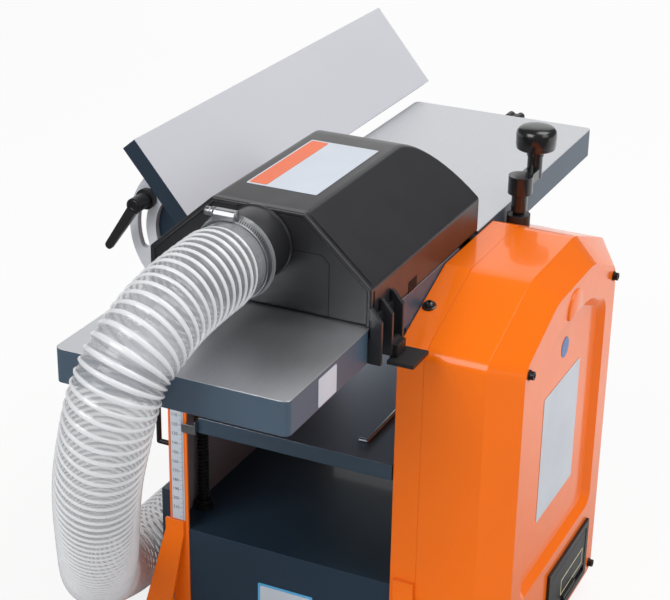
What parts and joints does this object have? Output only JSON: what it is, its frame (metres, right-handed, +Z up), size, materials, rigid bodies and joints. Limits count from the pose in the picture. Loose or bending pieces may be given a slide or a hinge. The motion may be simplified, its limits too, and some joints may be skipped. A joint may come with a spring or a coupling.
{
  "type": "combination planer thicknesser",
  "caption": "Bench planer thicknesser with planing tables over a cutterblock, a rising thickness table, tilting fence, chip hood with ribbed hose and a belt cover.",
  "frame": {"origin": "floor level, in the middle of the four bolt holes of the feet, under the cutterblock", "axes": "+X towards the belt cover, +Y along the tables to the infeed end, +Z up"},
  "size_m": [0.4715, 0.8806, 0.5252],
  "materials": {
    "orange_paint": "glossy powder coat",
    "slate_paint": "fine textured coat",
    "cast_table": "planed top, painted sides",
    "bright_steel": "ground",
    "black_oxide": "satin black",
    "black_plastic": "fine grain",
    "hood_plastic": "moulded charcoal",
    "rubber": "matt",
    "clear_hose": "milky with white ribs",
    "white_plastic": "printed strip",
    "bronze": "turned",
    "light_casting": "light grey casting",
    "green_plastic": "moulded",
    "red_plastic": "moulded"
  },
  "bodies": {
    "frame": {"left_side_frame": "orange_paint", "right_side_frame": "orange_paint", "base_housing": "slate_paint", "motor_cover": "slate_paint", "foot_near_left": "orange_paint", "foot_near_right": "orange_paint", "foot_far_left": "orange_paint", "foot_far_right": "orange_paint", "rubber_feet": "rubber", "cross_bars": "slate_paint", "outfeed_table": "cast_table", "scale_strip": "white_plastic", "screw_bushes": "black_oxide", "crank_bush": "black_plastic", "cutter_bearings": "bright_steel", "motor": "slate_paint", "drive_belt": "rubber", "roller_blocks": "black_oxide", "kickback_rod": "bright_steel", "belt_cover": "orange_paint", "cover_screws": "black_oxide", "switch_plate": "black_plastic", "hood": "hood_plastic", "hose_clamp": "bright_steel", "dust_hose": "clear_hose", "hose_connector": "black_plastic", "fence_support": "slate_paint", "fence_pin": "bright_steel", "clamp_bolt": "bright_steel", "cable_hook": "black_oxide"},
    "infeed_table": {"infeed_table": "cast_table"},
    "star_knob": {"star_knob": "black_plastic"},
    "thickness_table": {"thickness_table": "slate_paint", "scale_pointer": "black_oxide", "guide_rod": "bright_steel", "lift_nuts": "bronze"},
    "crank": {"crank_arm": "black_oxide", "lead_screw_right": "black_oxide"},
    "crank_knob": {"crank_knob": "black_plastic"},
    "left_screw": {"lead_screw_left": "black_oxide"},
    "cutterblock": {"cutterblock": "bright_steel", "cutter_knives": "bright_steel", "cutter_pulley": "bright_steel"},
    "motor_rotor": {"motor_pulley": "bright_steel"},
    "near_feed_roller": {"near_feed_roller": "bright_steel"},
    "far_feed_roller": {"far_feed_roller": "bright_steel"},
    "kickback_fingers": {"kickback_fingers": "bright_steel"},
    "fence": {"fence": "slate_paint", "fence_quadrant": "light_casting"},
    "fence_lever": {"clamp_lever": "black_plastic"},
    "hood_latch": {"latch_lever": "black_plastic"},
    "switch_flap": {"switch_flap": "black_plastic"},
    "start_button": {"start_button": "green_plastic"},
    "stop_button": {"stop_button": "red_plastic"}
  },
  "joints": [
    {"name": "infeed_height", "type": "slide", "parent": "frame", "child": "infeed_table", "axis": [0, 0, 1], "range_m": [-0.003, 0]},
    {"name": "star_knob_turn", "type": "hinge", "parent": "infeed_table", "child": "star_knob", "pos_m": [0.01, 0.378, 0.41], "axis": [0, 1, 0], "range_deg": [-541, 1]},
    {"name": "thickness_lift", "type": "slide", "parent": "frame", "child": "thickness_table", "axis": [0, 0, 1], "range_m": [-0.0116, 0.1016]},
    {"name": "crank_turn", "type": "hinge", "parent": "frame", "child": "crank", "pos_m": [0.1185, 0.099, 0.44], "axis": [0, 0, 1], "range_deg": [-9150, 1050]},
    {"name": "left_screw_turn", "type": "hinge", "parent": "frame", "child": "left_screw", "pos_m": [-0.114, -0.12, 0.2], "axis": [0, 0, 1], "range_deg": [-9150, 1050]},
    {"name": "crank_knob_spin", "type": "hinge", "parent": "crank", "child": "crank_knob", "pos_m": [0.1185, 0.139, 0.48], "axis": [0, 0, 1], "continuous": true},
    {"name": "cutterblock_spin", "type": "hinge", "parent": "frame", "child": "cutterblock", "pos_m": [0, 0, 0.4], "axis": [1, 0, 0], "continuous": true},
    {"name": "motor_spin", "type": "hinge", "parent": "frame", "child": "motor_rotor", "pos_m": [0.1, 0, 0.08], "axis": [1, 0, 0], "continuous": true},
    {"name": "near_roller_spin", "type": "hinge", "parent": "frame", "child": "near_feed_roller", "pos_m": [0, -0.048, 0.3845], "axis": [1, 0, 0], "continuous": true},
    {"name": "far_roller_spin", "type": "hinge", "parent": "frame", "child": "far_feed_roller", "pos_m": [0, 0.048, 0.3845], "axis": [1, 0, 0], "continuous": true},
    {"name": "kickback_swing", "type": "hinge", "parent": "frame", "child": "kickback_fingers", "pos_m": [0, -0.092, 0.387], "axis": [1, 0, 0], "range_deg": [0, 45]},
    {"name": "fence_tilt", "type": "hinge", "parent": "frame", "child": "fence", "pos_m": [-0.125, 0, 0.423], "axis": [0, 1, 0], "range_deg": [-5, 40]},
    {"name": "fence_lever_turn", "type": "hinge", "parent": "frame", "child": "fence_lever", "pos_m": [-0.17798, -0.115, 0.45117], "axis": [0, 1, 0], "range_deg": [-50, 35]},
    {"name": "latch_swing", "type": "hinge", "parent": "frame", "child": "hood_latch", "pos_m": [0.113, -0.191, 0.402], "axis": [0, 1, 0], "range_deg": [0, 30]},
    {"name": "flap_swing", "type": "hinge", "parent": "frame", "child": "switch_flap", "pos_m": [0.2115, 0.0395, 0.0894], "axis": [0, -1, 0], "range_deg": [0, 85]},
    {"name": "start_press", "type": "slide", "parent": "frame", "child": "start_button", "axis": [-1, 0, 0], "range_m": [0, 0.0025], "stiffness_N_per_m": 120},
    {"name": "stop_press", "type": "slide", "parent": "frame", "child": "stop_button", "axis": [-1, 0, 0], "range_m": [0, 0.0025], "stiffness_N_per_m": 120}
  ],
  "couplings": [
    {"joint": "star_knob_turn", "follows": "infeed_height", "rad_per_m": 3141.6},
    {"joint": "crank_turn", "follows": "thickness_lift", "rad_per_m": -1570.8},
    {"joint": "left_screw_turn", "follows": "thickness_lift", "rad_per_m": -1570.8},
    {"joint": "motor_spin", "follows": "cutterblock_spin", "ratio": 0.34091},
    {"joint": "near_roller_spin", "follows": "cutterblock_spin", "ratio": -0.0136},
    {"joint": "far_roller_spin", "follows": "cutterblock_spin", "ratio": -0.0136}
  ]
}
